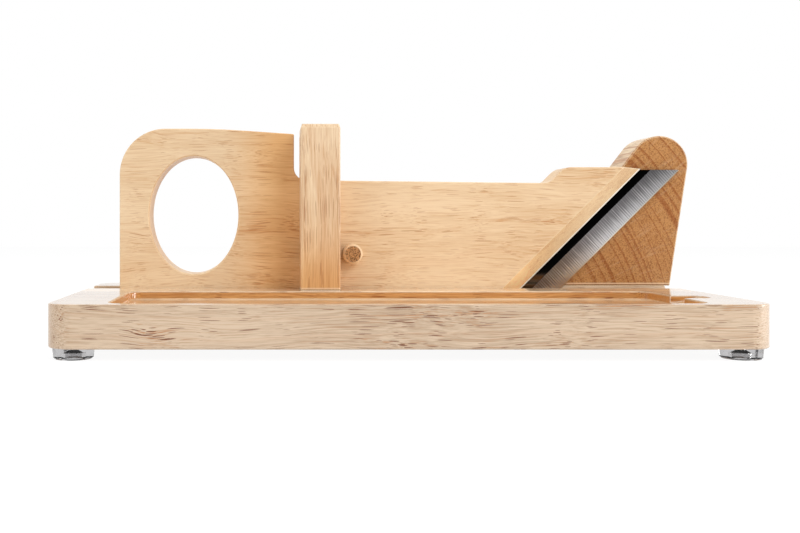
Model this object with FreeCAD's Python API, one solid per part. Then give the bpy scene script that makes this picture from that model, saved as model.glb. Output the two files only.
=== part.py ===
import FreeCAD, Part
import math
import os

# Sausage guillotine slicer in rubberwood, in millimetres, at rest with the blade closed.
# +X runs to the right along the board, +Y from the front edge to the back, +Z up.
# Z = 0 is the surface that the feet stand on. Heights are given above the board's top face,
# stations from its left end, and insets from the nearest edge.

# Base board
base_length = 380.0
base_width = 180.0
base_thickness = 23.4
base_corner_radius = 14.0
base_edge_round = 1.0
rear_ledge = 5.3

# Slice tray sunk into the board, with a finger scoop in its right wall
tray_end_rim = 32.0
tray_front_rim = 7.0
tray_depth = 5.0
tray_corner_radius = 8.0
tray_floor_round = 1.5
scoop_width = 19.0
scoop_reach = 17.0
scoop_depth = 4.0
scoop_end_round = 6.0

# Feet
foot_height = 6.3
foot_top_diameter = 22.4
foot_bottom_diameter = 21.2
foot_inset_x = 13.0
foot_inset_y = 15.0
foot_edge_round = 0.8
foot_recess_diameter = 9.0
foot_recess_depth = 3.4

# Guide posts either side of the arm
front_post_width = 24.6
front_post_thickness = 23.4
rear_post_width = 22.0
rear_post_thickness = 24.6
post_height = 103.0
post_station = 148.3
post_setback = 3.5
post_edge_round = 1.0
post_cap_height = 2.6
post_cap_inset = 0.9

# Slicing arm
arm_thickness = 23.4
arm_side_play = 0.5
arm_floor_play = 0.2
groove_depth = 8.0
arm_left_inset = 20.8
handle_height = 102.3
handle_corner_radius = 34.0
handle_crown_reach = 61.2
handle_crown_radius = 480.0
handle_length = 111.7
shoulder_height = 98.8
shoulder_round = 8.0
waist_height_left = 69.3
waist_height_right = 67.4
hump_foot_reach = 16.0
hump_rise = 10.2
hump_slope = 45.0
hump_foot_round = 8.0
hump_top_round = 10.0
arm_edge_round = 0.9
hand_hole_centre_reach = 47.6
hand_hole_centre_height = 46.9
hand_hole_width = 57.0
hand_hole_height = 75.6
hand_hole_edge_chamfer = 0.8

# Blade at 45 degrees, let into the back face of the arm
blade_angle = 45.0
blade_overrun = 20.5
blade_width = 36.0
blade_thickness = 2.0
blade_dip = 2.0
blade_top_gap = 0.6
blade_seat_play = 0.2
grind_width = 14.0
edge_thickness = 0.15
blade_bare_reach = 27.0
end_cut_run = 18.7

# Keeper pin through the arm
pin_diameter = 12.5
pin_reach = 21.3
pin_height_above_board = 22.1
pin_front_stand = 8.0
pin_rear_stand = 5.0
pin_chamfer = 1.1
pin_play = 0.1
channel_play = 0.5
channel_end_gap = 1.0

# End block with a sloping face that the sausage lies against
block_thickness = 27.5
block_setback = 1.5
block_foot_length = 92.2
block_toe_overhang = 3.7
block_head_inset = 6.9
block_head_height = 80.9
block_head_radius = 18.9
block_edge_chamfer = 0.8

# Screws and dowels
frame_screw_diameter = 4.0
frame_screw_head = 8.0
frame_screw_length = 50.0
foot_screw_diameter = 3.5
foot_screw_head = 7.0
foot_screw_length = 15.0
blade_screw_diameter = 3.5
blade_screw_head = 7.0
blade_screw_length = 13.0
blade_screw_margin = 6.0
blade_screw_count = 3
blade_screw_end_margin = 13.0
screw_play = 0.05
screw_tip_length = 4.0
screw_tip_diameter = 0.6
post_dowel_diameter = 6.0
post_dowel_spacing = 14.0
block_dowel_diameter = 8.0
block_fastener_inset = 17.0
block_fastener_gap = 7.4
dowel_length = 24.0
dowel_in_board = 10.0
dowel_end_gap = 0.5
dowel_chamfer = 0.8
dowel_play = 0.05

# Levels and stations that follow from the sizes above
underside_z = foot_height
top_z = underside_z + base_thickness
front_y = -base_width / 2
block_front_y = base_width / 2 - rear_ledge - block_thickness
groove_back_y = block_front_y - block_setback
arm_back_y = groove_back_y - arm_side_play
blade_front_y = arm_back_y - blade_thickness
arm_front_y = arm_back_y - arm_thickness
groove_front_y = arm_front_y - arm_side_play
front_post_y = groove_front_y - front_post_thickness
tray_back_y = front_post_y - post_setback
tray_front_y = front_y + tray_front_rim
groove_floor_z = top_z - groove_depth
arm_bottom_z = groove_floor_z + arm_floor_play
hump_height = waist_height_right + hump_rise
hump_top_z = top_z + hump_height
pin_z = top_z + pin_height_above_board
pin_front_y = arm_front_y - pin_front_stand
pin_back_y = arm_back_y + pin_rear_stand
blade_slope = math.tan(math.radians(blade_angle))
blade_sine = math.sin(math.radians(blade_angle))
blade_bottom_z = top_z - blade_dip
blade_top_z = hump_top_z - blade_top_gap

left_x = -base_length / 2
right_x = base_length / 2
post_centre_x = left_x + post_station
pin_x = post_centre_x + pin_reach
arm_left_x = left_x + arm_left_inset
handle_crown_x = arm_left_x + handle_crown_reach
hand_hole_centre_x = arm_left_x + hand_hole_centre_reach
shoulder_x = arm_left_x + handle_length
block_toe_x = right_x + block_toe_overhang
block_head_x = block_toe_x - block_head_inset
block_foot_x = block_toe_x - block_foot_length
blade_edge_x = block_foot_x + blade_overrun
cut_rear_x = blade_edge_x - blade_bare_reach
cut_front_x = cut_rear_x - end_cut_run
hump_foot_x = blade_edge_x - hump_foot_reach

# The block's head passes the right end of the board, so the middle of the whole
# object lies this far to the right of the middle of the board.
head_overhang = block_head_x + block_head_radius - right_x
middle_x = max(head_overhang, 0.0) / 2


def flat(z):
    return lambda u, v: FreeCAD.Vector(u, v, z)


def upright(y):
    return lambda u, v: FreeCAD.Vector(u, y, v)


def rounded_outline(corners, plane):
    """Closed wire through (u, v, radius) corners, each rounded by a tangent arc."""
    count = len(corners)
    stations = []
    for i, (u, v, radius) in enumerate(corners):
        before = corners[i - 1]
        after = corners[(i + 1) % count]
        to_before = FreeCAD.Vector(before[0] - u, before[1] - v, 0)
        to_after = FreeCAD.Vector(after[0] - u, after[1] - v, 0)
        room = 0.48 * min(to_before.Length, to_after.Length)
        half = to_before.getAngle(to_after) / 2
        reach = min(radius / math.tan(half), room)
        corner = FreeCAD.Vector(u, v, 0)
        if reach < 1e-6:
            stations.append([corner])
            continue
        radius = reach * math.tan(half)
        to_before.normalize()
        to_after.normalize()
        inward = (to_before + to_after).normalize()
        centre = corner + inward * (radius / math.sin(half))
        start = corner + to_before * reach
        middle = centre - inward * radius
        end = corner + to_after * reach
        stations.append([start, middle, end])
    edges = []
    for i, station in enumerate(stations):
        following = stations[(i + 1) % count]
        placed = [plane(p.x, p.y) for p in station]
        if len(placed) == 3:
            edges.append(Part.Arc(*placed).toShape())
        target = plane(following[0].x, following[0].y)
        if placed[-1].distanceToPoint(target) > 1e-6:
            edges.append(Part.makeLine(placed[-1], target))
    return Part.Wire(edges)


def plate(corners, plane, thickness):
    return Part.Face(rounded_outline(corners, plane)).extrude(thickness)


def rectangle(left, right, low, high, radius):
    return [(left, low, radius), (right, low, radius), (right, high, radius), (left, high, radius)]


def edges_at(shape, axis, level):
    """Edges that lie wholly at one level along an axis."""
    found = []
    for edge in shape.Edges:
        box = edge.BoundBox
        low = getattr(box, axis + "Min")
        high = getattr(box, axis + "Max")
        if abs(low - level) < 1e-4 and abs(high - level) < 1e-4:
            found.append(edge)
    return found


def turned(profile):
    """Solid of revolution about Z from (radius, z) points."""
    points = [FreeCAD.Vector(radius, 0, z) for radius, z in profile]
    face = Part.Face(Part.makePolygon(points + points[:1]))
    return face.revolve(FreeCAD.Vector(0, 0, 0), FreeCAD.Vector(0, 0, 1), 360)


def countersunk_screw(diameter, head_diameter, length, play=0.0):
    """Screw with its flat head at Z = 0 and its tip up; play gives the hole that it fits."""
    shank = diameter / 2 + play
    head = head_diameter / 2 + play
    cone = head - shank
    end = length + play
    return turned([
        (0, 0), (head, 0), (shank, cone), (shank, length - screw_tip_length),
        (screw_tip_diameter / 2, end), (0, end),
    ])


def dowel(diameter, length, chamfer, play=0.0):
    """Chamfered dowel that stands on Z = 0; play gives the hole that it fits."""
    if play:
        return Part.makeCylinder(diameter / 2 + play, length)
    radius = diameter / 2
    return turned([
        (0, 0), (radius - chamfer, 0), (radius, chamfer),
        (radius, length - chamfer), (radius - chamfer, length), (0, length),
    ])


def moved(shape, x, y, z):
    copy = shape.copy()
    copy.translate(FreeCAD.Vector(x, y, z))
    return copy


def facing_front(shape):
    """Turn a shape built along +Z so that it points to the front, along -Y."""
    copy = shape.copy()
    copy.rotate(FreeCAD.Vector(0, 0, 0), FreeCAD.Vector(1, 0, 0), 90)
    return copy


def along_blade(x_at_board_top, height):
    """X of a line at the blade's angle, at a height above the board's top face."""
    return x_at_board_top + height / blade_slope


# Fastener stations
front_post_middle_y = front_post_y + front_post_thickness / 2
rear_post_middle_y = groove_back_y + rear_post_thickness / 2
block_middle_y = block_front_y + block_thickness / 2
foot_stations = {
    "front_left": (left_x + foot_inset_x, front_y + foot_inset_y),
    "front_right": (right_x - foot_inset_x, front_y + foot_inset_y),
    "rear_left": (left_x + foot_inset_x, -front_y - foot_inset_y),
    "rear_right": (right_x - foot_inset_x, -front_y - foot_inset_y),
}
# Dowels and screws take turns under the block, from its foot to short of the rear right foot.
block_fastener_first = block_foot_x + block_fastener_inset
block_fastener_last = foot_stations["rear_right"][0] - foot_top_diameter / 2 - block_fastener_gap
block_fastener_pitch = (block_fastener_last - block_fastener_first) / 3
block_dowel_xs = [block_fastener_first + i * block_fastener_pitch for i in (0, 2)]
block_screw_xs = [block_fastener_first + i * block_fastener_pitch for i in (1, 3)]
frame_screw_stations = {
    "front_post_screw": [(post_centre_x, front_post_middle_y)],
    "rear_post_screw": [(post_centre_x, rear_post_middle_y)],
    "block_screws": [(x, block_middle_y) for x in block_screw_xs],
}
dowel_stations = {
    "front_post_dowels": (post_dowel_diameter, [
        (post_centre_x + side * post_dowel_spacing / 2, front_post_middle_y) for side in (-1, 1)]),
    "rear_post_dowels": (post_dowel_diameter, [
        (post_centre_x + side * post_dowel_spacing / 2, rear_post_middle_y) for side in (-1, 1)]),
    "block_dowels": (block_dowel_diameter, [(x, block_middle_y) for x in block_dowel_xs]),
}
blade_screw_x = blade_edge_x - (blade_width - blade_screw_margin) / blade_sine
blade_screw_low = blade_screw_end_margin - blade_dip
blade_screw_high = hump_height - blade_top_gap - blade_screw_end_margin
blade_screw_heights = [
    blade_screw_low + i * (blade_screw_high - blade_screw_low) / (blade_screw_count - 1)
    for i in range(blade_screw_count)
]


def frame_screw(play=0.0):
    return countersunk_screw(frame_screw_diameter, frame_screw_head, frame_screw_length, play)


def foot_screw(play=0.0):
    return countersunk_screw(foot_screw_diameter, foot_screw_head, foot_screw_length, play)


def blade_screw(play=0.0):
    return facing_front(countersunk_screw(blade_screw_diameter, blade_screw_head, blade_screw_length, play))


def at_frame_screws(name, play=0.0):
    return [moved(frame_screw(play), x, y, underside_z) for x, y in frame_screw_stations[name]]


def at_dowels(name, play=0.0):
    diameter, stations = dowel_stations[name]
    length = dowel_length + (2 * dowel_end_gap if play else 0.0)
    foot_z = top_z - dowel_in_board - (dowel_end_gap if play else 0.0)
    return [moved(dowel(diameter, length, dowel_chamfer, play), x, y, foot_z) for x, y in stations]


def at_blade_screws(play=0.0):
    return [
        moved(blade_screw(play), along_blade(blade_screw_x, height), arm_back_y, top_z + height)
        for height in blade_screw_heights
    ]


def at_board_top(corners, depth):
    """Cutter that sinks an outline into the board to a depth below its top face."""
    return plate(corners, flat(top_z - depth), FreeCAD.Vector(0, 0, 2 * depth))


def make_base_board():
    board_plan = rectangle(left_x, right_x, front_y, -front_y, base_corner_radius)
    board = plate(board_plan, flat(underside_z), FreeCAD.Vector(0, 0, base_thickness))
    tray_plan = rectangle(left_x + tray_end_rim, right_x - tray_end_rim,
                          tray_front_y, tray_back_y, tray_corner_radius)
    tray = at_board_top(tray_plan, tray_depth)
    tray = tray.makeFillet(tray_floor_round, edges_at(tray, "Z", top_z - tray_depth))
    groove_plan = rectangle(2 * left_x, 2 * right_x, groove_front_y, groove_back_y, 0)
    board = board.cut([tray, at_board_top(groove_plan, groove_depth)])
    rims = edges_at(board, "Z", underside_z) + edges_at(board, "Z", top_z)
    board = board.makeFillet(base_edge_round, rims)
    cutters = [make_scoop()]
    for name in frame_screw_stations:
        cutters += at_frame_screws(name, screw_play)
    for name in dowel_stations:
        cutters += at_dowels(name, dowel_play)
    for x, y in foot_stations.values():
        cutters.append(moved(foot_screw(screw_play), x, y, foot_recess_depth))
    return board.cut(cutters)


def make_scoop():
    """A cove that rises from the tray's right wall to the board's top face."""
    wall_x = right_x - tray_end_rim
    middle_y = (tray_front_y + tray_back_y) / 2
    radius = (scoop_reach ** 2 + scoop_depth ** 2) / (2 * scoop_depth)
    half = scoop_width / 2
    axis_end = FreeCAD.Vector(wall_x, middle_y - half, top_z - scoop_depth + radius)
    cove = Part.makeCylinder(radius, scoop_width, axis_end, FreeCAD.Vector(0, 1, 0))
    near_x = wall_x - tray_corner_radius
    far_x = wall_x + scoop_reach
    outline = [
        (near_x, middle_y - half, 0), (far_x, middle_y - half, scoop_end_round),
        (far_x, middle_y + half, scoop_end_round), (near_x, middle_y + half, 0),
    ]
    return cove.common(at_board_top(outline, scoop_depth))


def make_foot():
    """Round pad with a softened rim and a recessed screw hole, standing on Z = 0."""
    low = foot_bottom_diameter / 2
    high = foot_top_diameter / 2
    recess = foot_recess_diameter / 2
    hole = foot_screw_diameter / 2 + screw_play
    cone = foot_screw_head / 2 - foot_screw_diameter / 2
    return turned([
        (recess, 0), (low - foot_edge_round, 0), (low, foot_edge_round), (high, foot_height),
        (hole, foot_height), (hole, foot_recess_depth + cone), (hole + cone, foot_recess_depth),
        (recess, foot_recess_depth),
    ])


def make_post(width, thickness, front, channel_front, channel_back, joinery):
    """Square post with an eased cap and a channel for the keeper pin in the face towards the arm."""
    left = post_centre_x - width / 2
    back = front + thickness
    inset = post_cap_inset
    shoulder = rectangle(left, left + width, front, back, post_edge_round)
    cap = rectangle(left + inset, left + width - inset, front + inset, back - inset, post_edge_round)
    shoulder_z = top_z + post_height - post_cap_height
    post = plate(shoulder, flat(top_z), FreeCAD.Vector(0, 0, post_height - post_cap_height))
    wires = [rounded_outline(shoulder, flat(shoulder_z)), rounded_outline(cap, flat(top_z + post_height))]
    post = post.fuse(Part.makeLoft(wires, True, True))
    height = pin_diameter + 2 * channel_play
    channel = Part.makeBox(2 * width, channel_back - channel_front, height,
                           FreeCAD.Vector(left - width / 2, channel_front, pin_z - height / 2))
    return post.cut([channel] + joinery)


def make_front_post():
    joinery = at_frame_screws("front_post_screw", screw_play) + at_dowels("front_post_dowels", dowel_play)
    return make_post(front_post_width, front_post_thickness, front_post_y,
                     pin_front_y - channel_end_gap, groove_front_y, joinery)


def make_rear_post():
    joinery = at_frame_screws("rear_post_screw", screw_play) + at_dowels("rear_post_dowels", dowel_play)
    return make_post(rear_post_width, rear_post_thickness, groove_back_y,
                     groove_back_y, pin_back_y + channel_end_gap, joinery)


def touch_point(point, centre, radius, side):
    """Where a line from an outside point touches a circle in the X-Z plane, on its left (-1) or right (1)."""
    out = point - centre
    turn = math.acos(radius / out.Length)
    bearing = math.atan2(out.z, out.x) + side * turn
    return centre + FreeCAD.Vector(math.cos(bearing), 0, math.sin(bearing)) * radius


def make_end_block():
    """Round head, with a sloping face and a back edge that both run on from it."""
    foot = FreeCAD.Vector(block_foot_x, block_front_y, top_z)
    toe = FreeCAD.Vector(block_toe_x, block_front_y, top_z)
    head = FreeCAD.Vector(block_head_x, block_front_y, top_z + block_head_height)
    brow = touch_point(foot, head, block_head_radius, -1)
    nape = touch_point(toe, head, block_head_radius, 1)
    crown = head + FreeCAD.Vector(0, 0, block_head_radius)
    outline = Part.Wire([
        Part.makeLine(foot, brow), Part.Arc(brow, crown, nape).toShape(),
        Part.makeLine(nape, toe), Part.makeLine(toe, foot),
    ])
    block = Part.Face(outline).extrude(FreeCAD.Vector(0, block_thickness, 0))
    rims = edges_at(block, "Y", block_front_y) + edges_at(block, "Y", block_front_y + block_thickness)
    rims = [edge for edge in rims if edge.BoundBox.ZMax > top_z + block_edge_chamfer]
    block = block.makeChamfer(block_edge_chamfer, rims)
    return block.cut(at_frame_screws("block_screws", screw_play) + at_dowels("block_dowels", dowel_play))


def blade_outline(back_x, low, high, front_x):
    """Corners of a strip at the blade's angle between two heights above the board."""
    return [
        (along_blade(back_x, low), top_z + low, 0), (along_blade(front_x, low), top_z + low, 0),
        (along_blade(front_x, high), top_z + high, 0), (along_blade(back_x, high), top_z + high, 0),
    ]


def make_slicer_arm():
    reach = cut_rear_x + hump_height / blade_slope + arm_thickness
    hump_run = hump_rise / math.tan(math.radians(hump_slope))
    outline = [
        (arm_left_x, arm_bottom_z, arm_edge_round),
        (arm_left_x, top_z + handle_height, handle_corner_radius),
        (handle_crown_x, top_z + handle_height, handle_crown_radius),
        (shoulder_x, top_z + shoulder_height, arm_edge_round),
        (shoulder_x, top_z + waist_height_left, shoulder_round),
        (hump_foot_x, top_z + waist_height_right, hump_foot_round),
        (hump_foot_x + hump_run, hump_top_z, hump_top_round),
        (reach, hump_top_z, 0),
        (reach, arm_bottom_z, 0),
    ]
    arm = plate(outline, upright(arm_front_y), FreeCAD.Vector(0, arm_thickness, 0))
    rims = edges_at(arm, "Y", arm_front_y) + edges_at(arm, "Y", arm_back_y)
    rims = [edge for edge in rims if edge.BoundBox.ZMin > arm_bottom_z + arm_edge_round]
    arm = arm.makeFillet(arm_edge_round, rims)
    hole = make_hand_hole()
    end = make_end_cut(reach)
    seat_back_x = blade_edge_x - (blade_width + blade_seat_play) / blade_sine
    seat = plate(blade_outline(seat_back_x, -blade_dip - blade_seat_play, 2 * hump_height, reach),
                 upright(blade_front_y), FreeCAD.Vector(0, 2 * blade_thickness, 0))
    bore_end = FreeCAD.Vector(pin_x, arm_front_y - arm_thickness / 2, pin_z)
    bore_radius = pin_diameter / 2 + pin_play
    bore = Part.makeCylinder(bore_radius, 2 * arm_thickness, bore_end, FreeCAD.Vector(0, 1, 0))
    return arm.cut([hole, end, seat, bore] + at_blade_screws(screw_play))


def hand_hole_wire(growth, y):
    centre = FreeCAD.Vector(hand_hole_centre_x, y, top_z + hand_hole_centre_height)
    half_height = hand_hole_height / 2 + growth
    half_width = hand_hole_width / 2 + growth
    tips = [FreeCAD.Vector(0, 0, half_height), FreeCAD.Vector(half_width, 0, 0)]
    long_tip, short_tip = sorted(tips, key=lambda tip: -tip.Length)
    return Part.Wire([Part.Ellipse(centre + long_tip, centre + short_tip, centre).toShape()])


def make_hand_hole():
    """Oval through hole with both rims eased by a chamfer."""
    ease = hand_hole_edge_chamfer
    core = Part.Face(hand_hole_wire(0, arm_front_y)).extrude(FreeCAD.Vector(0, arm_thickness, 0))
    front = Part.makeLoft([hand_hole_wire(ease, arm_front_y), hand_hole_wire(0, arm_front_y + ease)], True)
    back = Part.makeLoft([hand_hole_wire(0, arm_back_y - ease), hand_hole_wire(ease, arm_back_y)], True)
    return core.fuse([front, back])


def make_end_cut(reach):
    """Slanted end: the cut runs back through the thickness to meet the blade's flat."""
    run = (cut_rear_x - cut_front_x) / (blade_front_y - arm_front_y)
    front = arm_front_y - arm_thickness
    back = arm_back_y + arm_thickness
    low = -groove_depth - arm_thickness
    high = hump_height + arm_thickness
    front_x = along_blade(cut_front_x, low) + run * (front - arm_front_y)
    back_x = along_blade(cut_front_x, low) + run * (back - arm_front_y)
    far_x = front_x + 4 * reach
    plan = [(front_x, front, 0), (far_x, front, 0), (far_x, back, 0), (back_x, back, 0)]
    rise = high - low
    return plate(plan, flat(top_z + low), FreeCAD.Vector(rise / blade_slope, 0, rise))


def make_blade():
    """Strip ground on its front face to an edge that lies in its back face."""
    back = -blade_width
    profile = [
        (back, 0), (-grind_width, 0), (0, blade_thickness - edge_thickness), (0, blade_thickness),
        (back, blade_thickness),
    ]
    low = -blade_dip - blade_width
    high = blade_top_z - top_z + blade_width
    low_x = along_blade(blade_edge_x, low)
    points = [
        FreeCAD.Vector(low_x + across / blade_sine, blade_front_y + depth, top_z + low)
        for across, depth in profile
    ]
    face = Part.Face(Part.makePolygon(points + points[:1]))
    strip = face.extrude(FreeCAD.Vector((high - low) / blade_slope, 0, high - low))
    window = Part.makeBox(4 * base_length, 4 * blade_thickness, blade_top_z - blade_bottom_z,
                          FreeCAD.Vector(-2 * base_length, blade_front_y - blade_thickness, blade_bottom_z))
    return strip.common(window).cut(at_blade_screws(screw_play))


def make_keeper_pin():
    pin = facing_front(dowel(pin_diameter, pin_back_y - pin_front_y, pin_chamfer))
    return moved(pin, pin_x, pin_back_y, pin_z)


def make_nodes():
    nodes = {
        "base_board": make_base_board(),
        "front_post": make_front_post(),
        "rear_post": make_rear_post(),
        "end_block": make_end_block(),
        "slicer_arm": make_slicer_arm(),
        "blade": make_blade(),
        "blade_screws": Part.makeCompound(at_blade_screws()),
        "keeper_pin": make_keeper_pin(),
    }
    for name in frame_screw_stations:
        nodes[name] = Part.makeCompound(at_frame_screws(name))
    for name in dowel_stations:
        nodes[name] = Part.makeCompound(at_dowels(name))
    for corner, (x, y) in foot_stations.items():
        nodes["foot_" + corner] = moved(make_foot(), x, y, 0)
        nodes["foot_screw_" + corner] = moved(foot_screw(), x, y, foot_recess_depth)
    return nodes


os.makedirs("parts", exist_ok=True)
for node, shape in make_nodes().items():
    moved(shape, -middle_x, 0, 0).exportStep("parts/" + node + ".step")
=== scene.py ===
import math
import bpy
from mathutils import Matrix, Vector


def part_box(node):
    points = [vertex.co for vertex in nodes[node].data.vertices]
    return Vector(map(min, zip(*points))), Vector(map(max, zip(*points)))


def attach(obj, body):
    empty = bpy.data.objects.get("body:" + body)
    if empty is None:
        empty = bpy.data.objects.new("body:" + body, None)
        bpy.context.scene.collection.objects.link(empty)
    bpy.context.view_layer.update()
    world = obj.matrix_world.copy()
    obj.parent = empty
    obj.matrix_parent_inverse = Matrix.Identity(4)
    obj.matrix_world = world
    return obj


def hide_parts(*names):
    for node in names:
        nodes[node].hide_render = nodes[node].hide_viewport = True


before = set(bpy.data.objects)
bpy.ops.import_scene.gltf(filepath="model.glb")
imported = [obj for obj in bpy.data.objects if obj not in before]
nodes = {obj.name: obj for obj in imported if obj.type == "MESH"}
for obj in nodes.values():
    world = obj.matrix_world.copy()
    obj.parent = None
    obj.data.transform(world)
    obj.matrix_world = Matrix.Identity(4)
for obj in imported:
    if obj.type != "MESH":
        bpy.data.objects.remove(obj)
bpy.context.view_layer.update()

boardLow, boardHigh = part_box("base_board")
boardTop = boardHigh[2]
print("frame loaded:", len(nodes), "nodes")


# Helpers that write shader nodes in one line each

def srgb(red, green, blue):
    tone = [c / 255 for c in (red, green, blue)]
    return [c / 12.92 if c <= 0.04045 else ((c + 0.055) / 1.055) ** 2.4 for c in tone] + [1.0]


def addNode(tree, kind, inputs=None, **settings):
    item = tree.nodes.new(kind)
    for name, value in settings.items():
        setattr(item, name, value)
    for key, value in (inputs or {}).items():
        if isinstance(value, bpy.types.NodeSocket):
            tree.links.new(value, item.inputs[key])
        else:
            item.inputs[key].default_value = value
    return item


def calc(tree, operation, a, b=0.0, c=0.0, clamp=False):
    item = addNode(tree, "ShaderNodeMath", {0: a, 1: b, 2: c}, operation=operation, use_clamp=clamp)
    return item.outputs[0]


def plus(tree, a, b, clamp=False):
    return calc(tree, "ADD", a, b, clamp=clamp)


def minus(tree, a, b):
    return calc(tree, "SUBTRACT", a, b)


def times(tree, *values):
    result = values[0]
    for value in values[1:]:
        result = calc(tree, "MULTIPLY", result, value)
    return result


def vectorCalc(tree, operation, a, b=(0, 0, 0)):
    item = addNode(tree, "ShaderNodeVectorMath", {0: a, 1: b}, operation=operation)
    return item.outputs["Value" if operation in ("LENGTH", "DOT_PRODUCT") else "Vector"]


def parts(tree, vector):
    return addNode(tree, "ShaderNodeSeparateXYZ", {0: vector}).outputs


def joined(tree, x=0.0, y=0.0, z=0.0):
    return addNode(tree, "ShaderNodeCombineXYZ", {0: x, 1: y, 2: z}).outputs[0]


def mixColor(tree, factor, a, b, blend="MIX"):
    item = addNode(tree, "ShaderNodeMix", {0: factor, 6: a, 7: b}, data_type="RGBA", blend_type=blend)
    return item.outputs[2]


def smooth(tree, value, low, high, outLow=0.0, outHigh=1.0):
    item = addNode(tree, "ShaderNodeMapRange", {0: value, 1: low, 2: high, 3: outLow, 4: outHigh},
                   interpolation_type="SMOOTHSTEP")
    return item.outputs[0]


def bandMask(tree, value, low, high, soft):     # 1 between low and high, with soft ends
    return times(tree, smooth(tree, value, low - soft, low + soft),
                 smooth(tree, value, high - soft, high + soft, 1.0, 0.0))


def noise(tree, vector, scale=1.0, detail=2.0, roughness=0.5, dimensions="3D"):
    inputs = {"Scale": scale, "Detail": detail, "Roughness": roughness}
    inputs["W" if dimensions == "1D" else "Vector"] = vector
    return addNode(tree, "ShaderNodeTexNoise", inputs, noise_dimensions=dimensions)


def cells(tree, vector, channel):       # distance to the nearest cell's centre, and that cell's random value
    item = addNode(tree, "ShaderNodeTexVoronoi", {"Vector": vector, "Scale": 1.0}, feature="F1")
    random = addNode(tree, "ShaderNodeSeparateColor", {0: item.outputs["Color"]})
    return item.outputs["Distance"], random.outputs[channel]


def newGroup(name, inputs, outputs):
    group = bpy.data.node_groups.new(name, "ShaderNodeTree")
    for direction, sockets in (("INPUT", inputs), ("OUTPUT", outputs)):
        for label, kind in sockets:
            group.interface.new_socket(label, in_out=direction, socket_type="NodeSocket" + kind)
    return group, group.nodes.new("NodeGroupInput").outputs, group.nodes.new("NodeGroupOutput").inputs


def newMaterial(name):
    material = bpy.data.materials.new(name)
    material.use_nodes = True
    return material, material.node_tree, material.node_tree.nodes["Principled BSDF"]


def dress(names, material):
    for name in names:
        slots = nodes[name].data.materials
        for i in range(len(slots)):
            slots[i] = material


# Sanded edges with a painted highlight: 1 where the surface turns within the radius, 0 on the flats

edgeLook = {
    "samples": 6, "from": 0.995, "full": 0.86,      # the last two are cosines of the turn of the normal
}


def makeEdgeWearAndHighlight():
    tree, given, result = newGroup("edgeWearAndHighlight", [("Radius", "Float")], [("Mask", "Float")])
    rounded = addNode(tree, "ShaderNodeBevel", {"Radius": given["Radius"]}, samples=edgeLook["samples"])
    straight = addNode(tree, "ShaderNodeNewGeometry").outputs["True Normal"]
    same = vectorCalc(tree, "DOT_PRODUCT", rounded.outputs[0], straight)
    tree.links.new(smooth(tree, same, edgeLook["from"], edgeLook["full"]), result["Mask"])
    return tree


edgeWearAndHighlight = makeEdgeWearAndHighlight()


# Wood: one figure for every wooden piece, in millimetres, with the grain along X

woodSockets = {                         # the figure's inputs, under the names that woodLooks uses
    "pale": ("Pale", "Color"), "mid": ("Mid", "Color"), "streak": ("Streak", "Color"),
    "pore": ("Pore", "Color"), "endGrain": ("End Grain", "Color"), "seed": ("Seed", "Float"),
    "heart": ("Ring Centre", "Vector"), "ringGap": ("Ring Gap", "Float"),
    "ringAmount": ("Ring Amount", "Float"), "wobble": ("Wobble", "Float"),
    "fibre": ("Fibre Amount", "Float"), "streaks": ("Streak Amount", "Float"),
    "pores": ("Pore Amount", "Float"), "flecks": ("Fleck Amount", "Float"),
    "rays": ("Ray Amount", "Float"), "ends": ("End Amount", "Float"),
    "swirl": ("Swirl Centre", "Vector"), "swirlAmount": ("Swirl Amount", "Float"),
    "speckles": ("Speckle Amount", "Float"),
}

figureLook = {                          # first each layer's cycles per mm, along and across the grain
    "wander": (0.009, 0.03), "hair": (0.026, 1.8), "fine": (0.055, 1.15), "band": (0.010, 0.20),
    "tone": (0.008, 0.024), "pores": (0.05, 2.3), "flecks": (0.05, 0.95),
    "hairWeight": 2.2, "fineWeight": 1.0, "toneWeight": 1.5, "bandWeight": 0.7,
    "ringUneven": 1.6, "ringLines": 5.0, "ringSharpness": 9.0, "rayCount": 90.0, "rayLength": 0.05,
    "swirlSize": (0.045, 0, 0.11), "swirlLift": 2.6, "seedSteps": (731.0, 53.0, 97.0), "endFade": 0.85,
}


def stretched(tree, vector, layer):             # coordinates for a layer that is long in X
    along, across = figureLook[layer]
    return vectorCalc(tree, "MULTIPLY", vector, (along, across, across))


def weighed(tree, value, layer):                # a layer centred on 0, with its weight
    return times(tree, minus(tree, value, 0.5), figureLook[layer + "Weight"])


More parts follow.
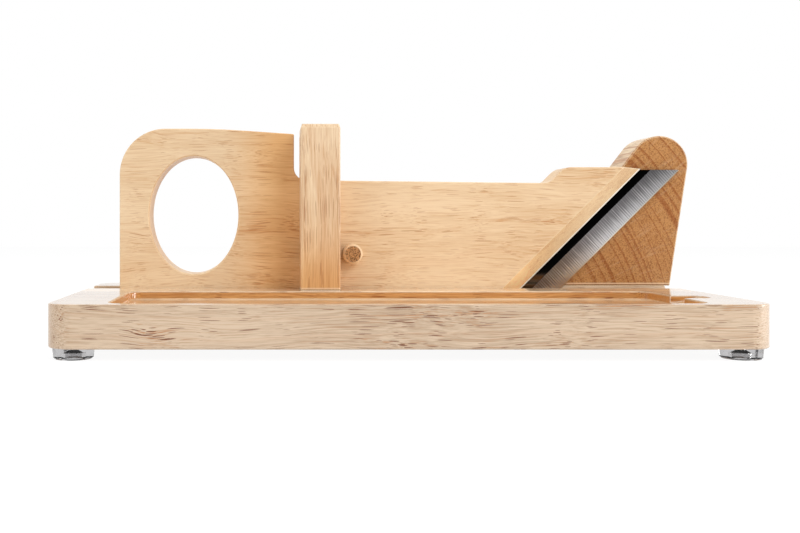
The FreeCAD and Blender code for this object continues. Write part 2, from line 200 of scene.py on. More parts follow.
def makeWoodFigure():
    tree, given, result = newGroup(
        "woodFigure", [("Vector", "Vector"), ("Normal", "Vector"), *woodSockets.values()],
        [("Color", "Color"), ("Roughness", "Float"), ("Height", "Float")])
    mm = vectorCalc(tree, "MULTIPLY", given["Vector"], (1000, 1000, 1000))
    shift = joined(tree, *[times(tree, given["Seed"], step) for step in figureLook["seedSteps"]])
    seeded = vectorCalc(tree, "ADD", mm, shift)

    # the fibres wander slowly, across the grain only
    wander = noise(tree, stretched(tree, seeded, "wander"), detail=2.5).outputs["Color"]
    wander = vectorCalc(tree, "MULTIPLY", vectorCalc(tree, "SUBTRACT", wander, (0.5, 0.5, 0.5)), (0, 1, 1))
    scaled = vectorCalc(tree, "SCALE", wander)
    tree.links.new(given["Wobble"], scaled.node.inputs["Scale"])

    # one place where the fibres bulge and the pores crowd
    fromSwirl = vectorCalc(tree, "SUBTRACT", mm, given["Swirl Centre"])
    fromSwirl = vectorCalc(tree, "MULTIPLY", fromSwirl, figureLook["swirlSize"])
    swirl = smooth(tree, vectorCalc(tree, "LENGTH", fromSwirl), 0.0, 1.0, 1.0, 0.0)
    swirl = times(tree, swirl, given["Swirl Amount"])
    lift = joined(tree, z=times(tree, swirl, figureLook["swirlLift"]))
    fibre = vectorCalc(tree, "ADD", vectorCalc(tree, "ADD", seeded, scaled), lift)

    # growth rings round an axis along the grain, each with finer lines in it
    fromHeart = vectorCalc(tree, "SUBTRACT", vectorCalc(tree, "ADD", mm, scaled), given["Ring Centre"])
    radius = vectorCalc(tree, "LENGTH", vectorCalc(tree, "MULTIPLY", fromHeart, (0, 1, 1)))
    count = calc(tree, "DIVIDE", radius, given["Ring Gap"])
    uneven = noise(tree, plus(tree, count, given["Seed"]), scale=0.8, detail=1.0, dimensions="1D").outputs[0]
    count = plus(tree, count, times(tree, uneven, figureLook["ringUneven"]))
    phase = calc(tree, "FRACT", count)
    ring = times(tree, calc(tree, "POWER", smooth(tree, phase, 0.05, 0.95), figureLook["ringSharpness"]),
                 smooth(tree, phase, 0.96, 1.0, 1.0, 0.0))
    lineAt = plus(tree, times(tree, count, figureLook["ringLines"]), given["Seed"])
    lines = noise(tree, lineAt, detail=2.0, dimensions="1D").outputs[0]
    ring = plus(tree, ring, smooth(tree, lines, 0.52, 0.70, 0.0, 0.3), clamp=True)

    # rays cross the rings and show on end grain only
    apart = parts(tree, fromHeart)
    angle = calc(tree, "ARCTAN2", apart[2], apart[1])
    rayAt = joined(tree, times(tree, angle, figureLook["rayCount"]),
                   times(tree, radius, figureLook["rayLength"]))
    ray = smooth(tree, noise(tree, rayAt, detail=2, roughness=0.6).outputs[0], 0.5, 0.75)

    # hair lines, fibres, bands and a slow tone
    hair = noise(tree, stretched(tree, fibre, "hair"), detail=3, roughness=0.7).outputs[0]
    fine = noise(tree, stretched(tree, fibre, "fine"), detail=3, roughness=0.65).outputs[0]
    band = noise(tree, stretched(tree, fibre, "band"), detail=3, roughness=0.6).outputs[0]
    tone = noise(tree, stretched(tree, fibre, "tone"), detail=1.5).outputs[0]
    body = plus(tree, weighed(tree, hair, "hair"), weighed(tree, fine, "fine"))
    body = times(tree, body, given["Fibre Amount"])
    body = plus(tree, body, weighed(tree, tone, "tone"))
    body = plus(tree, body, weighed(tree, band, "band"))
    color = mixColor(tree, smooth(tree, body, -0.55, 0.55), given["Pale"], given["Mid"])
    cluster = smooth(tree, plus(tree, band, times(tree, tone, 0.8)), 0.86, 1.18)
    cluster = plus(tree, cluster, swirl, clamp=True)
    streak = times(tree, smooth(tree, hair, 0.53, 0.66), plus(tree, cluster, 0.25))
    streak = calc(tree, "MULTIPLY", streak, given["Streak Amount"], clamp=True)
    color = mixColor(tree, streak, color, given["Streak"])
    color = mixColor(tree, times(tree, ring, given["Ring Amount"]), color, given["Streak"])

    # pores are short open vessels along the grain, more of them where a band runs, and flecks are wider ones
    distance, pick = cells(tree, stretched(tree, fibre, "pores"), 0)
    size = smooth(tree, plus(tree, pick, times(tree, cluster, 0.6)), 0.45, 1.25, 0.0, 0.46)
    pore = smooth(tree, minus(tree, size, distance), -0.02, 0.05)
    distance, pick = cells(tree, stretched(tree, fibre, "flecks"), 1)
    size = smooth(tree, plus(tree, pick, times(tree, cluster, 0.8)), 1.0, 1.7, 0.0, 0.38)
    fleck = smooth(tree, minus(tree, size, distance), -0.04, 0.08)
    fleck = times(tree, fleck, smooth(tree, hair, 0.36, 0.56))
    pore = times(tree, pore, given["Pore Amount"])
    fleck = times(tree, fleck, given["Fleck Amount"])
    holes = plus(tree, pore, fleck, clamp=True)

    # faces that cross the fibres have few pores, are browner and show rays
    end = smooth(tree, calc(tree, "ABSOLUTE", parts(tree, given["Normal"])[0]), 0.5, 0.9)
    holes = times(tree, holes, minus(tree, 1.0, times(tree, end, figureLook["endFade"])))
    color = mixColor(tree, holes, color, given["Pore"])
    for low, high, tint in ((0.51, 0.60, "Pore"), (0.45, 0.34, "Pale")):    # dark speckles, then pale ones
        speckle = times(tree, smooth(tree, fine, low, high), given["Speckle Amount"])
        color = mixColor(tree, speckle, color, given[tint])
    color = mixColor(tree, times(tree, end, given["End Amount"]), color, given["End Grain"], "MULTIPLY")
    color = mixColor(tree, times(tree, end, ray, given["Ray Amount"]), color, given["Pale"])
    tree.links.new(color, result["Color"])
    tree.links.new(plus(tree, times(tree, fine, 0.10), times(tree, holes, 0.25)), result["Roughness"])
    relief = plus(tree, times(tree, fine, 0.3), times(tree, hair, 0.25))
    tree.links.new(minus(tree, relief, holes), result["Height"])
    return tree


woodFigure = makeWoodFigure()

grainAlongZ = (0, math.radians(90), 0)
grainAlongY = (0, 0, math.radians(90))

woodLooks = {
    "board": {
        "turn": (0, 0, 0), "seed": 1.0, "pale": (216, 191, 163), "mid": (184, 157, 129),
        "streak": (192, 132, 82), "pore": (118, 66, 34), "endGrain": (238, 220, 198), "heart": (0, -30, -46),
        "ringGap": 7.0, "ringAmount": 0.12, "wobble": 10.0, "fibre": 1.4, "streaks": 1.0, "pores": 1.0,
        "flecks": 0.5, "rays": 0.0, "ends": 0.25, "swirl": (-142, -90, 13), "swirlAmount": 1.0,
        "speckles": 0.0, "edge": (255, 242, 224), "edgeRadius": 0.0013, "coat": 0.95, "coatRoughness": 0.10,
    },
    "arm": {
        "turn": (0, 0, 0), "seed": 4.0, "pale": (242, 216, 180), "mid": (221, 187, 145),
        "streak": (206, 142, 84), "pore": (172, 104, 52), "endGrain": (255, 242, 218), "heart": (0, 150, 20),
        "ringGap": 10.0, "ringAmount": 0.08, "wobble": 14.0, "fibre": 0.75, "streaks": 0.65, "pores": 0.6,
        "flecks": 0.3, "rays": 0.0, "ends": 0.8, "swirl": (-156, 0, 62), "swirlAmount": 0.8,
        "speckles": 0.0, "edge": (250, 230, 196), "edgeRadius": 0.0012, "coat": 0.15, "coatRoughness": 0.3,
    },
    "post": {
        "turn": grainAlongZ, "seed": 7.0, "pale": (246, 223, 190), "mid": (222, 188, 149),
        "streak": (196, 134, 84), "pore": (160, 100, 60), "endGrain": (238, 230, 220), "heart": (0, 120, 40),
        "ringGap": 7.0, "ringAmount": 0.15, "wobble": 6.0, "fibre": 1.0, "streaks": 0.6, "pores": 0.6,
        "flecks": 0.2, "rays": 0.0, "ends": 0.5, "swirl": (0, 0, 0), "swirlAmount": 0.0, "speckles": 0.0,
        "edge": (250, 232, 206), "edgeRadius": 0.0016, "coat": 0.25, "coatRoughness": 0.25,
    },
    "block": {
        "turn": grainAlongY, "seed": 9.0, "pale": (242, 218, 182), "mid": (224, 194, 154),
        "streak": (186, 128, 80), "pore": (140, 88, 48), "endGrain": (206, 167, 124), "heart": (0, 39, -9),
        "ringGap": 6.5, "ringAmount": 0.75, "wobble": 3.0, "fibre": 1.3, "streaks": 0.3, "pores": 0.3,
        "flecks": 0.0, "rays": 0.12, "ends": 1.0, "swirl": (0, 0, 0), "swirlAmount": 0.0, "speckles": 0.5,
        "edge": (238, 212, 174), "edgeRadius": 0.0009, "coat": 0.15, "coatRoughness": 0.3,
    },
    "pin": {
        "turn": grainAlongY, "seed": 12.0, "pale": (250, 214, 170), "mid": (196, 152, 110),
        "streak": (140, 92, 58), "pore": (48, 24, 12), "endGrain": (208, 184, 156), "heart": (0, 20, 60),
        "ringGap": 3.0, "ringAmount": 0.3, "wobble": 1.0, "fibre": 2.0, "streaks": 0.4, "pores": 0.6,
        "flecks": 0.0, "rays": 0.1, "ends": 1.0, "swirl": (0, 0, 0), "swirlAmount": 0.0, "speckles": 1.0,
        "edge": (236, 206, 168), "edgeRadius": 0.0014, "coat": 0.15, "coatRoughness": 0.3,
    },
}

woodFinish = {
    "wearAndHighlightAmount": 0.85, "roughness": 0.36, "bumpStrength": 0.25, "bumpDistance": 0.0002, "specular": 0.35,
}
trayLook = {
    "low": (-0.1675, -0.0835), "high": (0.1695, 0.0048),    # the tray's corners in X and Y, scoop included
    "top": 0.0007, "depth": 0.0065, "softX": 0.0015, "softY": 0.0006, "soft": 0.0004,
    # painted shade darkens and warms the tray's walls, painted light lifts its floor
    "wall": srgb(260, 212, 144), "floor": srgb(276, 272, 258),
    "behind": 0.0313, "rear": srgb(298, 298, 290),          # painted light lifts the strip between the tray and the groove
}
contactShadeLook = {                                               # painted contact shadow, with a painted highlight band over it, where a post or the block stands on the board; the post is also darker and warmer towards the bottom
    "pale": srgb(240, 212, 176), "dark": srgb(120, 78, 46), "line": 0.0009, "soft": 0.0002,
    "warm": srgb(246, 216, 172), "warmHeight": 0.05,
}
armLook = {
    "warm": srgb(250, 220, 174), "postShadeAt": -0.072, "postShadeReach": 0.042,      # painted shade: darker and warmer round the post, where its shadow falls on the arm
    "cut": srgb(264, 268, 266), "cutLowLight": srgb(290, 286, 274),              # painted light on the slanted end face beside the blade, more of it near the board
    "line": srgb(270, 266, 258), "highlightLineFrom": 0.0512,                        # and a painted highlight line along its rear edge
}
# painted reflection: a warm tint on the board's rounded ends
boardEndReflection = {"tint": srgb(226, 184, 140), "width": 0.003, "amount": 0.3}
pinLook = {"ring": srgb(244, 214, 174), "ringFrom": 0.0050, "soft": 0.0004, "amount": 0.8}


def makeWood(name):
    look = woodLooks[name]
    material, tree, shader = newMaterial(name + "Wood")
    coordinate = addNode(tree, "ShaderNodeTexCoord").outputs
    point, normal = coordinate["Object"], coordinate["Normal"]
    figure = addNode(tree, "ShaderNodeGroup", node_tree=woodFigure)
    for socket, source, kind in (("Vector", point, "POINT"), ("Normal", normal, "VECTOR")):
        turned = addNode(tree, "ShaderNodeMapping", {"Vector": source, "Rotation": look["turn"]},
                         vector_type=kind)
        tree.links.new(turned.outputs[0], figure.inputs[socket])
    for key, (socket, kind) in woodSockets.items():
        figure.inputs[socket].default_value = srgb(*look[key]) if kind == "Color" else look[key]
    color = figure.outputs["Color"]
    place = parts(tree, point)
    if name == "board":
        color = paintTrayShadeAndBoardLight(tree, color, place, normal)
    if name in ("post", "block"):
        color = paintContactShadeAndHighlight(tree, color, place, name == "post")
    if name == "arm":
        color = paintArmShadeAndLight(tree, color, place, normal)
    if name == "pin":
        color = ringPin(tree, color, point)
    # sanded wear and a painted highlight: each look's edge colour on its rounded edges
    wearAndHighlight = addNode(tree, "ShaderNodeGroup", {"Radius": look["edgeRadius"]}, node_tree=edgeWearAndHighlight)
    wearAndHighlight = times(tree, wearAndHighlight.outputs["Mask"], woodFinish["wearAndHighlightAmount"])
    color = mixColor(tree, wearAndHighlight, color, srgb(*look["edge"]))
    roughness = plus(tree, figure.outputs["Roughness"], woodFinish["roughness"])
    bump = addNode(tree, "ShaderNodeBump", {
        "Strength": woodFinish["bumpStrength"], "Distance": woodFinish["bumpDistance"],
        "Height": figure.outputs["Height"]})
    tree.links.new(color, shader.inputs["Base Color"])
    tree.links.new(roughness, shader.inputs["Roughness"])
    tree.links.new(bump.outputs[0], shader.inputs["Normal"])
    shader.inputs["Specular IOR Level"].default_value = woodFinish["specular"]
    shader.inputs["Coat Weight"].default_value = look["coat"]
    shader.inputs["Coat Roughness"].default_value = look["coatRoughness"]
    return material


def paintTrayShadeAndBoardLight(tree, color, place, normal):       # painted shade darkens and warms the tray's walls; painted light lifts its floor and the strip behind it; a painted reflection warms the board's rounded ends
    facing = parts(tree, normal)
    inside = times(tree, bandMask(tree, place[0], trayLook["low"][0], trayLook["high"][0], trayLook["softX"]),
                   bandMask(tree, place[1], trayLook["low"][1], trayLook["high"][1], trayLook["softY"]))
    below = minus(tree, boardTop, place[2])
    inside = times(tree, inside, bandMask(tree, below, trayLook["top"], trayLook["depth"], trayLook["soft"]))
    up = smooth(tree, facing[2], 0.35, 0.8)
    walls = times(tree, inside, minus(tree, 1.0, up))
    # painted shade on the tray's walls, painted light on its floor
    color = mixColor(tree, walls, color, trayLook["wall"], "MULTIPLY")
    color = mixColor(tree, times(tree, inside, up), color, trayLook["floor"], "MULTIPLY")
    # painted light on the top strip between the tray and the groove
    rear = bandMask(tree, place[1], trayLook["high"][1], trayLook["behind"], trayLook["soft"])
    rear = times(tree, rear, smooth(tree, below, 0.002, 0.001))     # on the top face only
    color = mixColor(tree, rear, color, trayLook["rear"], "MULTIPLY")
    # painted reflection near either end, on the rounded corners only
    fromLeft = minus(tree, place[0], boardLow[0])
    fromRight = minus(tree, boardHigh[0], place[0])
    endReflection = smooth(tree, calc(tree, "MINIMUM", fromLeft, fromRight), boardEndReflection["width"], 0.0)
    endReflection = times(tree, endReflection, smooth(tree, calc(tree, "ABSOLUTE", facing[0]), 0.98, 0.8))
    return mixColor(tree, times(tree, endReflection, boardEndReflection["amount"]), color, boardEndReflection["tint"])


def paintArmShadeAndLight(tree, color, place, normal):        # painted shade beside the post, painted light on the slanted end face and a painted highlight line along its rear edge
    # painted shade of the post on the arm
    away = calc(tree, "ABSOLUTE", minus(tree, place[0], armLook["postShadeAt"]))
    warm = smooth(tree, away, armLook["postShadeReach"], 0.0, 0.0, 0.8)
    color = mixColor(tree, warm, color, armLook["warm"], "MULTIPLY")
    facing = parts(tree, normal)[0]
    # painted light on the slanted end face, and more where it is shaded near the board
    cut = times(tree, smooth(tree, facing, 0.2, 0.4), smooth(tree, place[0], 0.0, 0.01))
    color = mixColor(tree, cut, color, armLook["cut"], "MULTIPLY")
    low = smooth(tree, minus(tree, place[2], boardTop), 0.03, 0.0)
    color = mixColor(tree, times(tree, cut, low), color, armLook["cutLowLight"], "MULTIPLY")
    # painted highlight line along the rear edge of the slanted end face
    line = times(tree, cut, smooth(tree, place[1], armLook["highlightLineFrom"], armLook["highlightLineFrom"] + 0.0004))
    return mixColor(tree, line, color, armLook["line"])


def ringPin(tree, color, point):                # the pin's rim is pale where it was turned
    low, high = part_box("keeper_pin")
    centre = [(a + b) / 2 for a, b in zip(low, high)]
    apart = vectorCalc(tree, "MULTIPLY", vectorCalc(tree, "SUBTRACT", point, centre), (1, 0, 1))
    radius = vectorCalc(tree, "LENGTH", apart)
    ring = smooth(tree, radius, pinLook["ringFrom"], pinLook["ringFrom"] + pinLook["soft"])
    return mixColor(tree, times(tree, ring, pinLook["amount"]), color, pinLook["ring"])


def paintContactShadeAndHighlight(tree, color, place, warmBelow):   # painted contact shadow where a piece stands, with a painted highlight band over it; the post is also darker and warmer towards the bottom
    above = minus(tree, place[2], boardTop)
    if warmBelow:
        warm = smooth(tree, above, contactShadeLook["warmHeight"], 0.0, 0.0, 0.9)
        color = mixColor(tree, warm, color, contactShadeLook["warm"], "MULTIPLY")
    # painted contact shadow at the foot, and a painted highlight band above it
    dark = bandMask(tree, above, -0.001, contactShadeLook["line"], contactShadeLook["soft"])
    pale = bandMask(tree, above, contactShadeLook["line"], 2.1 * contactShadeLook["line"], contactShadeLook["soft"])
    color = mixColor(tree, times(tree, pale, 0.6), color, contactShadeLook["pale"])
    return mixColor(tree, times(tree, dark, 0.75), color, contactShadeLook["dark"])


dress(["base_board"], makeWood("board"))
dress(["slicer_arm"], makeWood("arm"))
dress(["front_post", "rear_post"], makeWood("post"))
dress(["end_block"], makeWood("block"))
dress(["keeper_pin", "front_post_dowels", "rear_post_dowels", "block_dowels"], makeWood("pin"))
print("wood dressed")


# Steel and feet

bladeLook = {
    "edgeX": 0.11415, "grind": 14.0, "microBevel": 0.7,     # where the edge meets the board, and widths in mm
    # painted highlight: the pale edge colour along the micro-bevel of the cutting edge
    "dark": srgb(138, 135, 137), "light": srgb(242, 240, 241), "edge": srgb(250, 240, 222),
    # painted reflection: the flat is darker on the front than on the back, for a dark room mirrored in it
    "flat": srgb(112, 110, 110), "hair": srgb(80, 78, 78), "back": srgb(186, 185, 184),
    "low": srgb(300, 316, 332), "paintedLightReach": 0.024,          # painted light: the steel is brighter near the board
    "slant": 707.1,                                         # mm on the 45 degree lines, per metre of X and Z
}


def makeBladeSteel():
    material, tree, shader = newMaterial("bladeSteel")
    coordinate = addNode(tree, "ShaderNodeTexCoord")
    place = parts(tree, coordinate.outputs["Object"])
    x = minus(tree, place[0], bladeLook["edgeX"])
    z = minus(tree, place[2], boardTop)
    across = times(tree, minus(tree, z, x), bladeLook["slant"])     # mm from the edge into the steel
    along = times(tree, plus(tree, x, z), bladeLook["slant"])       # mm up the blade
    facing = parts(tree, coordinate.outputs["Normal"])[1]
    front = smooth(tree, facing, -0.2, -0.6)
    ground = times(tree, smooth(tree, across, bladeLook["grind"] + 0.1, bladeLook["grind"] - 0.1), front)
    scratchAt = joined(tree, times(tree, along, 1.7), times(tree, across, 0.035))
    scratch = noise(tree, scratchAt, detail=3, roughness=0.7).outputs[0]
    stripes = calc(tree, "SINE", plus(tree, times(tree, along, 4.1), times(tree, scratch, 3.0)))
    scratch = plus(tree, times(tree, scratch, 0.6), plus(tree, times(tree, stripes, 0.07), 0.2))
    hairAt = joined(tree, times(tree, along, 0.03), times(tree, across, 3.0))
    hair = noise(tree, hairAt, detail=2).outputs[0]
    fade = smooth(tree, across, 0.0, bladeLook["grind"], 0.12, -0.14)
    tone = smooth(tree, plus(tree, scratch, fade), 0.34, 0.72)
    color = mixColor(tree, tone, bladeLook["dark"], bladeLook["light"])
    # painted light on the steel near the board
    low = smooth(tree, z, bladeLook["paintedLightReach"], 0.0)
    color = mixColor(tree, low, color, bladeLook["low"], "MULTIPLY")
    # painted reflection: the front of the flat darker than its back
    flat = mixColor(tree, front, bladeLook["back"], bladeLook["flat"])
    flat = mixColor(tree, smooth(tree, hair, 0.7, 0.3, 0.0, 0.3), flat, bladeLook["hair"])
    color = mixColor(tree, ground, flat, color)
    # painted highlight along the cutting edge
    edge = smooth(tree, across, bladeLook["microBevel"] + 0.15, bladeLook["microBevel"] - 0.15)
    edge = times(tree, edge, front)
    color = mixColor(tree, edge, color, bladeLook["edge"])
    bump = addNode(tree, "ShaderNodeBump", {
        "Strength": 0.35, "Distance": 0.0001, "Height": times(tree, scratch, ground)})
    tree.links.new(color, shader.inputs["Base Color"])
    tree.links.new(plus(tree, times(tree, ground, 0.24), 0.06), shader.inputs["Roughness"])
    tree.links.new(bump.outputs[0], shader.inputs["Normal"])
    shader.inputs["Metallic"].default_value = 1.0
    return material


rubberLook = {                          # haze and ripple are cycles per metre
    "dark": srgb(164, 163, 164), "pale": srgb(212, 211, 212), "haze": 260, "ripple": 420, "index": 1.43,
}


def makeFootRubber():
    material, tree, shader = newMaterial("footRubber")
    coordinate = addNode(tree, "ShaderNodeTexCoord")
    haze = noise(tree, coordinate.outputs["Object"], scale=rubberLook["haze"], detail=3).outputs[0]
    ripple = noise(tree, coordinate.outputs["Object"], scale=rubberLook["ripple"], detail=1).outputs[0]
    bump = addNode(tree, "ShaderNodeBump", {"Strength": 0.15, "Distance": 0.0004, "Height": ripple})
    tree.links.new(mixColor(tree, haze, rubberLook["dark"], rubberLook["pale"]), shader.inputs["Base Color"])
    tree.links.new(smooth(tree, haze, 0.3, 0.7, 0.03, 0.10), shader.inputs["Roughness"])
    tree.links.new(bump.outputs[0], shader.inputs["Normal"])
    shader.inputs["Transmission Weight"].default_value = 1.0
    shader.inputs["IOR"].default_value = rubberLook["index"]
    return material


dress(["blade"], makeBladeSteel())
dress([n for n in nodes if n.startswith("foot_") and "screw" not in n], makeFootRubber())
print("steel and feet dressed")


# Countersunk screws: cross recess, rolled thread and a point

screwLook = {
    "frame": {"diameter": 0.0040, "head": 0.0080, "length": 0.050},
    "foot": {"diameter": 0.0035, "head": 0.0070, "length": 0.015},
    "blade": {"diameter": 0.0035, "head": 0.0070, "length": 0.013},
    "rim": 0.0002, "point": 0.0040, "pointWidth": 0.0006, "pitch": 0.0014, "threadRoot": 0.76,
    "threadShares": (0.4, 0.2, 0.4),            # of one pitch: in to the root, along it and out again
    "recessReach": 0.58, "recessWidth": 0.13, "recessDepth": 0.30,      # shares of the head's width
    "recessTaper": (0.4, 0.5, 1), "sides": 32, "smoothAngle": math.radians(35),
    "dark": srgb(160, 160, 162), "light": srgb(205, 204, 200), "grain": 900,
}
screwSets = (                           # the screws with their heads down: node, name, kind and number
    ("front_post_screw", "frontPostScrew", "frame", 1), ("rear_post_screw", "rearPostScrew", "frame", 1),
    ("block_screws", "blockScrews", "frame", 2),
    ("foot_screw_front_left", "footScrewFrontLeft", "foot", 1),
    ("foot_screw_front_right", "footScrewFrontRight", "foot", 1),
    ("foot_screw_rear_left", "footScrewRearLeft", "foot", 1),
    ("foot_screw_rear_right", "footScrewRearRight", "foot", 1),
)


def makeScrewSteel():
    material, tree, shader = newMaterial("screwSteel")
    coordinate = addNode(tree, "ShaderNodeTexCoord")
    grain = noise(tree, coordinate.outputs["Object"], scale=screwLook["grain"], detail=3, roughness=0.7)
    grain = grain.outputs[0]
    tree.links.new(mixColor(tree, grain, screwLook["dark"], screwLook["light"]), shader.inputs["Base Color"])
    tree.links.new(smooth(tree, grain, 0.2, 0.8, 0.22, 0.42), shader.inputs["Roughness"])
    shader.inputs["Metallic"].default_value = 1.0
    return material


def cutRecess(screw, head, turn):               # one bar of the cross, narrower as it goes in
    bpy.ops.object.select_all(action="DESELECT")
    depth = screwLook["recessDepth"] * head
    bpy.ops.mesh.primitive_cube_add(size=1, scale=(
        screwLook["recessReach"] * head, screwLook["recessWidth"] * head, 2 * depth))
    bar = bpy.context.object
    bpy.ops.object.transform_apply(location=True, rotation=True, scale=True)
    bpy.ops.object.mode_set(mode="EDIT")
    bpy.ops.mesh.select_all(action="DESELECT")
    bpy.ops.object.mode_set(mode="OBJECT")
    for face in bar.data.polygons:
        face.select = face.normal.z > 0.9
    bpy.ops.object.mode_set(mode="EDIT")
    bpy.ops.mesh.select_mode(type="FACE")
    bpy.ops.transform.resize(value=screwLook["recessTaper"], center_override=(0, 0, depth))
    bpy.ops.object.mode_set(mode="OBJECT")
    bar.data.transform(Matrix.Rotation(turn, 4, "Z"))
    cut = screw.modifiers.new("recess", "BOOLEAN")
    cut.operation = "DIFFERENCE"
    cut.solver = "EXACT"
    cut.object = bar
    bpy.ops.object.select_all(action="DESELECT")
    screw.select_set(True)
    bpy.context.view_layer.objects.active = screw
    bpy.ops.object.modifier_apply(modifier=cut.name)
    bpy.data.objects.remove(bar)


def modelScrew(kind, material):                 # head at Z = 0, point up
    size = screwLook[kind]
    rim, pitch = screwLook["rim"], screwLook["pitch"]
    head, shank = size["head"] / 2, size["diameter"] / 2
    run = size["length"] - screwLook["point"] - (head - shank)
    threads = int(run / pitch)
    root = shank * screwLook["threadRoot"]
    inward, along, outward = (share * pitch for share in screwLook["threadShares"])
    steps = [(rim, head), (head - shank - rim, shank), (run - threads * pitch, shank)]
    steps += [(inward, root), (along, root), (outward, shank)] * threads
    steps.append((screwLook["point"], screwLook["pointWidth"] / 2))
    bpy.ops.object.select_all(action="DESELECT")
    bpy.ops.mesh.primitive_circle_add(vertices=screwLook["sides"], radius=head - rim, fill_type="NGON")
    screw = bpy.context.object
    wide = head - rim
    bpy.ops.object.mode_set(mode="EDIT")
    bpy.ops.mesh.select_all(action="SELECT")
    for rise, reach in steps:
        bpy.ops.mesh.extrude_region_move(TRANSFORM_OT_translate={"value": (0, 0, rise)})
        bpy.ops.transform.resize(value=(reach / wide, reach / wide, 1), center_override=(0, 0, 0))
        wide = reach
    bpy.ops.mesh.select_all(action="SELECT")
    bpy.ops.mesh.normals_make_consistent(inside=False)
    bpy.ops.object.mode_set(mode="OBJECT")
    cutRecess(screw, size["head"], 0)
    cutRecess(screw, size["head"], math.radians(90))
    bpy.ops.object.shade_smooth_by_angle(angle=screwLook["smoothAngle"])
    screw.data.materials.append(material)
    return screw


def setScrews(node, name, body, pattern, spots, turn):
    bpy.ops.object.select_all(action="DESELECT")
    for spot in spots:
        piece = pattern.copy()
        piece.data = pattern.data.copy()
        piece.data.transform(Matrix.Translation(spot) @ turn)
        bpy.context.scene.collection.objects.link(piece)
        piece.select_set(True)
        bpy.context.view_layer.objects.active = piece
    if len(spots) > 1:
        bpy.ops.object.join()
    piece.name = name
    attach(piece, body)
    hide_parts(node)


def spotsOf(node, head, count, face):           # screw heads in a row from corner to corner of the node's box
    low, high = (Vector(corner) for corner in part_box(node))
    inset = Vector((head / 2, head / 2, head / 2))
    first, last = low + inset, high - inset
    axis, level = (2, low[2]) if face == "down" else (1, high[1])
    first[axis] = last[axis] = level
    return [first.lerp(last, i / (count - 1) if count > 1 else 0.5) for i in range(count)]


screwSteel = makeScrewSteel()
headDown = Matrix.Identity(4)
headBack = Matrix.Rotation(math.radians(90), 4, "X")        # heads towards the back, points to the front
patterns = {kind: modelScrew(kind, screwSteel) for kind in ("frame", "foot", "blade")}
for node, name, kind, count in screwSets:
    spots = spotsOf(node, screwLook[kind]["head"], count, "down")
    setScrews(node, name, "base", patterns[kind], spots, headDown)
setScrews("blade_screws", "bladeScrews", "arm", patterns["blade"],
          spotsOf("blade_screws", screwLook["blade"]["head"], 3, "back"), headBack)
for pattern in patterns.values():
    bpy.data.objects.remove(pattern)
print("screws set")


# Stage, light and camera

stage = {
    "floorWidth": 3.0, "floorFront": -0.42, "floorBack": 2.2,
    "paper": 0.82, "litPaper": 0.12, "paperGlow": 0.93, "ambient": 0.45,
    "darkRoom": 0.008, "darkFrom": 0.05, "darkFull": -0.55,     # the room behind the camera
    "lens": 43.69, "sensorWidth": 36, "shiftX": 0.162, "shiftY": -0.0564, "clipStart": 0.01,
    "cameraAt": (-0.08045, -0.59, 0.0725),
}
softboxes = {                           # a mirrored lamp shows in polished faces
    "keyRight": {"place": (0.70, -0.95, 0.95), "aim": (0, 0, 0.05), "size": 0.7, "power": 8.5},
    "lowRight": {"place": (1.7, -0.42, 0.10), "aim": (0, 0, 0.05), "size": 0.6, "power": 16,
                 "mirrored": True},
    "fillLeft": {"place": (-1.05, -0.72, 0.55), "aim": (0, 0, 0.05), "size": 0.9, "power": 5.2},
    "topBox": {"place": (0.0, 0.25, 1.2), "aim": (0, 0.02, 0.05), "size": 0.9, "power": 6},
}


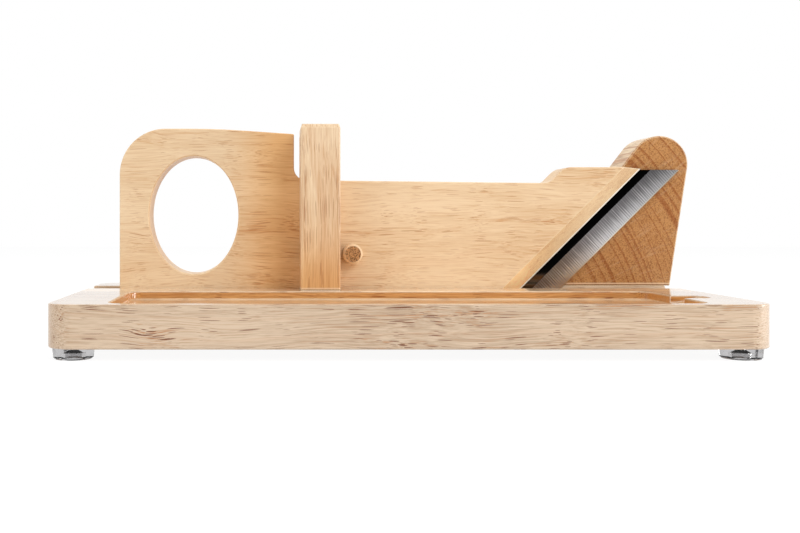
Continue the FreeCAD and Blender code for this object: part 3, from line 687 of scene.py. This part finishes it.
def makeFloor():
    bpy.ops.object.select_all(action="DESELECT")
    bpy.ops.mesh.primitive_plane_add(size=1)
    floor = bpy.context.object
    floor.name = "floor"
    depth = stage["floorBack"] - stage["floorFront"]
    for vertex in floor.data.vertices:
        vertex.co.x *= stage["floorWidth"]
        vertex.co.y = vertex.co.y * depth + (stage["floorBack"] + stage["floorFront"]) / 2
    material, tree, shader = newMaterial("floorPaper")
    tree.nodes.remove(shader)
    output = tree.nodes["Material Output"]
    path = addNode(tree, "ShaderNodeLightPath").outputs
    seen = calc(tree, "MAXIMUM", path["Is Camera Ray"], path["Is Glossy Ray"])
    seen = calc(tree, "MAXIMUM", seen, path["Is Transmission Ray"])
    paper = addNode(tree, "ShaderNodeBsdfDiffuse", {"Color": [stage["paper"]] * 3 + [1]})
    lit = addNode(tree, "ShaderNodeBsdfDiffuse", {"Color": [stage["litPaper"]] * 3 + [1]})
    glow = addNode(tree, "ShaderNodeEmission", {"Color": (1, 1, 1, 1), "Strength": stage["paperGlow"]})
    both = addNode(tree, "ShaderNodeAddShader", {0: lit.outputs[0], 1: glow.outputs[0]})
    mix = addNode(tree, "ShaderNodeMixShader", {0: seen, 1: paper.outputs[0], 2: both.outputs[0]})
    tree.links.new(mix.outputs[0], output.inputs["Surface"])
    floor.data.materials.append(material)


def makeWorld():
    world = bpy.data.worlds.new("studio")
    bpy.context.scene.world = world
    world.use_nodes = True
    tree = world.node_tree
    tree.nodes.clear()
    path = addNode(tree, "ShaderNodeLightPath").outputs
    way = parts(tree, addNode(tree, "ShaderNodeTexCoord").outputs["Generated"])[1]
    room = smooth(tree, way, stage["darkFull"], stage["darkFrom"], stage["darkRoom"], 1.0)
    shiny = times(tree, calc(tree, "MAXIMUM", path["Is Glossy Ray"], path["Is Transmission Ray"]), room)
    plain = times(tree, path["Is Diffuse Ray"], stage["ambient"])
    strength = calc(tree, "MAXIMUM", calc(tree, "MAXIMUM", path["Is Camera Ray"], shiny), plain)
    glow = addNode(tree, "ShaderNodeBackground", {"Color": (1, 1, 1, 1), "Strength": strength})
    output = addNode(tree, "ShaderNodeOutputWorld")
    tree.links.new(glow.outputs[0], output.inputs["Surface"])


def addSoftbox(name, place, aim, size, power, mirrored=False):
    light = bpy.data.lights.new(name, "AREA")
    light.shape = "DISK"
    light.size = size
    light.energy = power
    lamp = bpy.data.objects.new(name, light)
    lamp.visible_glossy = mirrored
    bpy.context.scene.collection.objects.link(lamp)
    lamp.location = place
    lamp.rotation_euler = (Vector(aim) - Vector(place)).to_track_quat("-Z", "Y").to_euler()


makeFloor()
makeWorld()
for name, lamp in softboxes.items():
    addSoftbox(name, **lamp)

cameraData = bpy.data.cameras.new("camera")
cameraData.lens = stage["lens"]
cameraData.sensor_width = stage["sensorWidth"]
cameraData.shift_x = stage["shiftX"]
cameraData.shift_y = stage["shiftY"]
cameraData.clip_start = stage["clipStart"]
camera = bpy.data.objects.new("camera", cameraData)
bpy.context.scene.collection.objects.link(camera)
camera.location = stage["cameraAt"]
camera.rotation_euler = (math.radians(90), 0, 0)
bpy.context.scene.camera = camera
bpy.context.scene.view_settings.view_transform = "Standard"
print("stage set")
